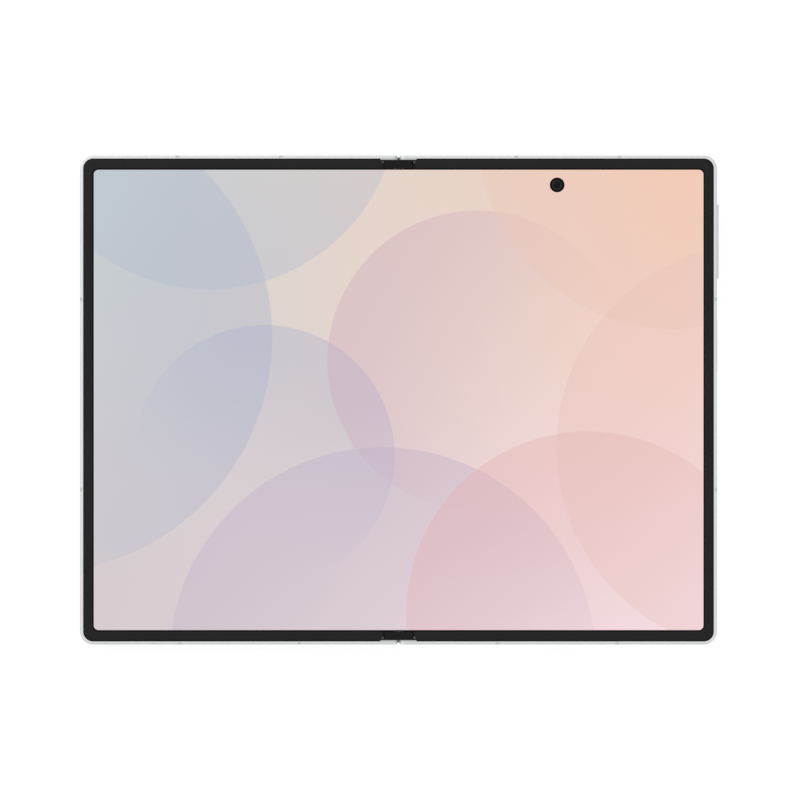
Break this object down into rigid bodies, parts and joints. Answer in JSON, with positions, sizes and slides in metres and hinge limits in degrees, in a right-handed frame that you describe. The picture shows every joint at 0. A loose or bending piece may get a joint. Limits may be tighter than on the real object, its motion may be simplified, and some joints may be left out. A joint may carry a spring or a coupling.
{
  "type": "foldable smartphone",
  "caption": "Book-style foldable smartphone, open flat: two thin metal-framed halves on a geared hinge with a folding inner screen, side keys and a rear camera island.",
  "frame": {"origin": "under the middle of the open phone, level with the lowest point of the rear lens rings", "axes": "+X to the right over both halves as the inner screen is seen, +Y up the screen along the fold, +Z out of the inner screen"},
  "size_m": [0.1619, 0.1238, 0.0065],
  "materials": {
    "aluminium_frame": "satin, bead-blasted",
    "dark_aluminium": "satin",
    "steel": "brushed",
    "black_plastic": "matte",
    "antenna_plastic": "matte",
    "screen_panel": "glossy, lit",
    "cover_glass_black": "glossy",
    "back_glass_silver": "frosted",
    "lens_glass": "glossy, coated",
    "flash_diffuser": "translucent",
    "battery_wrap": "matte",
    "copper_coil": "satin",
    "circuit_board": "satin",
    "shield_steel": "satin",
    "flex_amber": "satin",
    "card_plastic": "satin"
  },
  "bodies": {
    "hinge_spine": {"spine_cover": "aluminium_frame", "hinge_brackets": "dark_aluminium", "idler_shafts": "steel", "display_rail": "dark_aluminium", "rail_screws": "steel", "hinge_end_caps": "black_plastic", "inner_display_fold": "screen_panel", "hinge_flex_cables": "flex_amber"},
    "right_half": {"right_frame": "aluminium_frame", "right_bezel": "black_plastic", "inner_display_right": "screen_panel", "right_midplate": "dark_aluminium", "right_screws": "steel", "right_back_glass": "back_glass_silver", "right_antenna_bands": "antenna_plastic", "right_hinge_pins": "steel", "right_main_gears": "steel", "right_magnets": "steel", "camera_island": "aluminium_frame", "camera_rings": "aluminium_frame", "camera_lens_windows": "lens_glass", "camera_modules": "black_plastic", "flash_lens": "flash_diffuser", "main_battery": "battery_wrap", "charging_coil": "copper_coil", "main_board": "circuit_board", "shield_cans": "shield_steel", "inner_camera": "black_plastic", "inner_camera_window": "lens_glass", "usb_c_shell": "steel", "usb_c_tongue": "black_plastic", "loudspeaker": "black_plastic", "vibration_motor": "steel", "sim_reader": "shield_steel", "key_switches": "black_plastic", "right_flex_connectors": "black_plastic"},
    "left_half": {"left_frame": "aluminium_frame", "left_bezel": "black_plastic", "inner_display_left": "screen_panel", "left_midplate": "dark_aluminium", "left_screws": "steel", "cover_glass": "cover_glass_black", "cover_display": "cover_glass_black", "cover_camera": "black_plastic", "left_antenna_bands": "antenna_plastic", "left_hinge_pins": "steel", "left_main_gears": "steel", "left_magnets": "steel", "second_battery": "battery_wrap", "second_board": "circuit_board", "earpiece_speaker": "black_plastic", "left_flex_connectors": "black_plastic"},
    "right_wing": {"right_wing_plate": "dark_aluminium"},
    "left_wing": {"left_wing_plate": "dark_aluminium"},
    "right_idlers": {"right_idler_gears": "steel"},
    "left_idlers": {"left_idler_gears": "steel"},
    "volume_rocker": {"volume_rocker": "aluminium_frame"},
    "power_key": {"power_key": "aluminium_frame"},
    "sim_tray": {"sim_tray": "aluminium_frame", "sim_card": "card_plastic"}
  },
  "joints": [
    {"name": "fold_right", "type": "hinge", "parent": "hinge_spine", "child": "right_half", "pos_m": [0.0015, 0, 0.00505], "axis": [0, -1, 0], "range_deg": [0, 90], "deforming": ["inner_display_fold", "hinge_flex_cables"]},
    {"name": "fold_left", "type": "hinge", "parent": "hinge_spine", "child": "left_half", "pos_m": [-0.0015, 0, 0.00505], "axis": [0, 1, 0], "range_deg": [0, 90], "deforming": ["inner_display_fold", "hinge_flex_cables"]},
    {"name": "right_wing_tilt", "type": "hinge", "parent": "right_half", "child": "right_wing", "pos_m": [0.01, 0, 0.00535], "axis": [0, -1, 0], "range_deg": [0, 16.01]},
    {"name": "left_wing_tilt", "type": "hinge", "parent": "left_half", "child": "left_wing", "pos_m": [-0.01, 0, 0.00535], "axis": [0, 1, 0], "range_deg": [0, 16.01]},
    {"name": "right_idlers_spin", "type": "hinge", "parent": "hinge_spine", "child": "right_idlers", "pos_m": [0.0007, 0, 0.0039], "axis": [0, 1, 0], "range_deg": [0, 90]},
    {"name": "left_idlers_spin", "type": "hinge", "parent": "hinge_spine", "child": "left_idlers", "pos_m": [-0.0007, 0, 0.0039], "axis": [0, -1, 0], "range_deg": [0, 90]},
    {"name": "volume_rocker_tilt", "type": "hinge", "parent": "right_half", "child": "volume_rocker", "pos_m": [0.07868, 0.04015, 0.00415], "axis": [0, 0, 1], "range_deg": [-1.35, 1.35], "stiffness_Nm_per_rad": 0.02},
    {"name": "power_key_press", "type": "slide", "parent": "right_half", "child": "power_key", "axis": [-1, 0, 0], "range_m": [0, 0.0002], "stiffness_N_per_m": 300},
    {"name": "sim_tray_slide", "type": "slide", "parent": "right_half", "child": "sim_tray", "axis": [0, -1, 0], "range_m": [0, 0.018]}
  ],
  "couplings": [
    {"joint": "fold_left", "follows": "fold_right", "ratio": 1},
    {"joint": "right_wing_tilt", "follows": "fold_right", "ratio": 0.17778},
    {"joint": "left_wing_tilt", "follows": "fold_right", "ratio": 0.17778},
    {"joint": "right_idlers_spin", "follows": "fold_right", "ratio": 1},
    {"joint": "left_idlers_spin", "follows": "fold_right", "ratio": 1}
  ]
}
